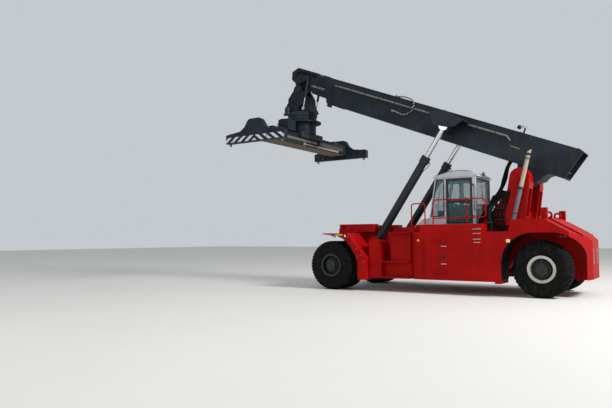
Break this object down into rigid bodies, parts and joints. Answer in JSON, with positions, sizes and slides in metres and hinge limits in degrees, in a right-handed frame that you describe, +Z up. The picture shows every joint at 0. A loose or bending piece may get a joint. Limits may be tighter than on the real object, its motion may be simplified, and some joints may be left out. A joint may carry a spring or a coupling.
{
  "type": "reach stacker",
  "caption": "Container-handling reach stacker with telescopic boom, rotating extendable spreader, cab, counterweight and pneumatic tyres.",
  "frame": {"origin": "on the ground under the middle of the whole length and width", "axes": "+X forward, +Y to the operator's left, +Z up"},
  "size_m": [11.417, 6.053, 8.2483],
  "materials": {
    "red_paint": "satin red machine paint, dusty in the corners",
    "slate_paint": "satin dark slate paint with brownish streaks",
    "dark_steel": "dark painted steel, oily and dusty",
    "axle_iron": "dark painted casting",
    "cab_paint": "light grey cab paint",
    "exhaust_metal": "heat-dulled pale metal",
    "cab_glass": "tinted glass",
    "rod_chrome": "polished rod",
    "tyre": "dusty black tyre rubber",
    "rear_rim_paint": "off-white rim paint",
    "seat_cloth": "dark seat cloth",
    "lamp_lens": "moulded lamp lens",
    "console_plastic": "black moulded plastic"
  },
  "bodies": {
    "chassis": {"main_frame": "red_paint", "boom_tower": "red_paint", "rear_fenders": "red_paint", "counterweight": "red_paint", "rear_hood": "red_paint", "side_tank_left": "red_paint", "side_tank_right": "red_paint", "steps": "red_paint", "deck": "red_paint", "handrails": "red_paint", "mudguards": "red_paint", "drive_axle": "axle_iron", "steer_axle": "axle_iron", "engine_block": "dark_steel", "driveline": "dark_steel", "exhaust_stack": "exhaust_metal", "lamps": "lamp_lens", "cab_shell": "cab_paint", "cab_roof": "cab_paint", "cab_glass": "cab_glass", "cab_seat": "seat_cloth", "cab_console": "console_plastic"},
    "cab_door": {"cab_door": "dark_steel", "cab_door_glass": "cab_glass"},
    "service_door": {"service_door": "red_paint"},
    "boom": {"boom_outer": "slate_paint"},
    "inner_boom": {"boom_inner": "slate_paint", "boom_head": "slate_paint"},
    "yoke": {"yoke": "slate_paint"},
    "rotator": {"rotator": "slate_paint"},
    "spreader": {"spreader_frame": "slate_paint"},
    "arm_left": {"spreader_arm_left": "slate_paint"},
    "arm_right": {"spreader_arm_right": "slate_paint"},
    "lock_1": {"twistlock_1": "rod_chrome"},
    "lock_2": {"twistlock_2": "rod_chrome"},
    "lock_3": {"twistlock_3": "rod_chrome"},
    "lock_4": {"twistlock_4": "rod_chrome"},
    "lift_barrel_left": {"lift_barrel_left": "dark_steel"},
    "lift_barrel_right": {"lift_barrel_right": "dark_steel"},
    "lift_rod_left": {"lift_rod_left": "rod_chrome"},
    "lift_rod_right": {"lift_rod_right": "rod_chrome"},
    "damper_barrels": {"damper_barrels": "cab_paint"},
    "damper_rods": {"damper_rods": "rod_chrome"},
    "knuckle_left": {"knuckle_left": "axle_iron"},
    "knuckle_right": {"knuckle_right": "axle_iron"},
    "front_wheels_left": {"tyres_front_left": "tyre", "rims_front_left": "dark_steel"},
    "front_wheels_right": {"tyres_front_right": "tyre", "rims_front_right": "dark_steel"},
    "rear_wheel_left": {"tyre_rear_left": "tyre", "rim_rear_left": "rear_rim_paint"},
    "rear_wheel_right": {"tyre_rear_right": "tyre", "rim_rear_right": "rear_rim_paint"}
  },
  "joints": [
    {"name": "boom_lift", "type": "hinge", "parent": "chassis", "child": "boom", "pos_m": [-3.85852, 0, 3.46], "axis": [0, 1, 0], "range_deg": [-36, 19]},
    {"name": "boom_extend", "type": "slide", "parent": "boom", "child": "inner_boom", "axis": [0.9259, 0, 0.3778], "range_m": [0, 7]},
    {"name": "yoke_swing", "type": "hinge", "parent": "inner_boom", "child": "yoke", "pos_m": [4.43902, 0, 7.39699], "axis": [0, 1, 0], "range_deg": [-19.01, 36.01]},
    {"name": "rotator_turn", "type": "hinge", "parent": "yoke", "child": "rotator", "pos_m": [4.43902, 0, 6.12699], "axis": [0, 0, 1], "range_deg": [-195, 105]},
    {"name": "side_shift", "type": "slide", "parent": "rotator", "child": "spreader", "axis": [0, 1, 0], "range_m": [-0.8, 0.8]},
    {"name": "arm_extend_left", "type": "slide", "parent": "spreader", "child": "arm_left", "axis": [0, 1, 0], "range_m": [0, 3.066]},
    {"name": "arm_extend_right", "type": "slide", "parent": "spreader", "child": "arm_right", "axis": [0, -1, 0], "range_m": [0, 3.066]},
    {"name": "lock_turn_1", "type": "hinge", "parent": "arm_left", "child": "lock_1", "pos_m": [5.56852, 2.9265, 5.04699], "axis": [0, 0, 1], "range_deg": [0, 90]},
    {"name": "lock_turn_2", "type": "hinge", "parent": "arm_left", "child": "lock_2", "pos_m": [3.30952, 2.9265, 5.04699], "axis": [0, 0, 1], "range_deg": [0, 90]},
    {"name": "lock_turn_3", "type": "hinge", "parent": "arm_right", "child": "lock_3", "pos_m": [5.56852, -2.9265, 5.04699], "axis": [0, 0, 1], "range_deg": [0, 90]},
    {"name": "lock_turn_4", "type": "hinge", "parent": "arm_right", "child": "lock_4", "pos_m": [3.30952, -2.9265, 5.04699], "axis": [0, 0, 1], "range_deg": [0, 90]},
    {"name": "lift_barrel_left", "type": "hinge", "parent": "chassis", "child": "lift_barrel_left", "pos_m": [0.80148, 1, 1.55], "axis": [0, 1, 0], "range_deg": [-4.33, 2.29]},
    {"name": "lift_rod_left", "type": "slide", "parent": "lift_barrel_left", "child": "lift_rod_left", "axis": [-0.5538, 0, 0.8327], "range_m": [-0.8964, 1.6975]},
    {"name": "lift_barrel_right", "type": "hinge", "parent": "chassis", "child": "lift_barrel_right", "pos_m": [0.80148, -1, 1.55], "axis": [0, 1, 0], "range_deg": [-4.33, 2.29]},
    {"name": "lift_rod_right", "type": "slide", "parent": "lift_barrel_right", "child": "lift_rod_right", "axis": [-0.5538, 0, 0.8327], "range_m": [-0.8964, 1.6975]},
    {"name": "damper_swing", "type": "hinge", "parent": "inner_boom", "child": "damper_barrels", "pos_m": [3.89071, 0, 7.73487], "axis": [0, 1, 0], "range_deg": [-12.17, 23.05]},
    {"name": "damper_stroke", "type": "slide", "parent": "damper_barrels", "child": "damper_rods", "axis": [0.1933, 0, -0.9811], "range_m": [-0.3152, 0.1668]},
    {"name": "steer_left", "type": "hinge", "parent": "chassis", "child": "knuckle_left", "pos_m": [-4.53852, 1, 0.8], "axis": [0, 0, 1], "range_deg": [-36, 36]},
    {"name": "steer_right", "type": "hinge", "parent": "chassis", "child": "knuckle_right", "pos_m": [-4.53852, -1, 0.8], "axis": [0, 0, 1], "range_deg": [-36, 36]},
    {"name": "front_wheels_left", "type": "hinge", "parent": "chassis", "child": "front_wheels_left", "pos_m": [1.96148, 1.545, 0.8], "axis": [0, 1, 0], "continuous": true},
    {"name": "front_wheels_right", "type": "hinge", "parent": "chassis", "child": "front_wheels_right", "pos_m": [1.96148, -1.545, 0.8], "axis": [0, 1, 0], "continuous": true},
    {"name": "rear_wheel_left", "type": "hinge", "parent": "knuckle_left", "child": "rear_wheel_left", "pos_m": [-4.53852, 1.39, 0.8], "axis": [0, 1, 0], "continuous": true},
    {"name": "rear_wheel_right", "type": "hinge", "parent": "knuckle_right", "child": "rear_wheel_right", "pos_m": [-4.53852, -1.39, 0.8], "axis": [0, 1, 0], "continuous": true},
    {"name": "cab_door", "type": "hinge", "parent": "chassis", "child": "cab_door", "pos_m": [-2.41852, 0.802, 2.8], "axis": [0, 0, 1], "range_deg": [0, 90]},
    {"name": "service_door", "type": "hinge", "parent": "chassis", "child": "service_door", "pos_m": [-1.14852, 1.868, 1.1], "axis": [0, 0, -1], "range_deg": [0, 110]}
  ],
  "couplings": [
    {"joint": "yoke_swing", "follows": "boom_lift", "ratio": -1},
    {"joint": "arm_extend_right", "follows": "arm_extend_left", "ratio": 1},
    {"joint": "steer_right", "follows": "steer_left", "ratio": 1},
    {"joint": "damper_swing", "follows": "boom_lift", "ratio": -0.64},
    {"joint": "damper_stroke", "follows": "boom_lift", "m_per_rad": 0.5},
    {"joint": "lift_barrel_left", "follows": "boom_lift", "ratio": 0.12},
    {"joint": "lift_rod_left", "follows": "boom_lift", "m_per_rad": -2.7},
    {"joint": "lift_barrel_right", "follows": "boom_lift", "ratio": 0.12},
    {"joint": "lift_rod_right", "follows": "boom_lift", "m_per_rad": -2.7},
    {"joint": "lock_turn_2", "follows": "lock_turn_1", "ratio": 1},
    {"joint": "lock_turn_3", "follows": "lock_turn_1", "ratio": 1},
    {"joint": "lock_turn_4", "follows": "lock_turn_1", "ratio": 1}
  ]
}
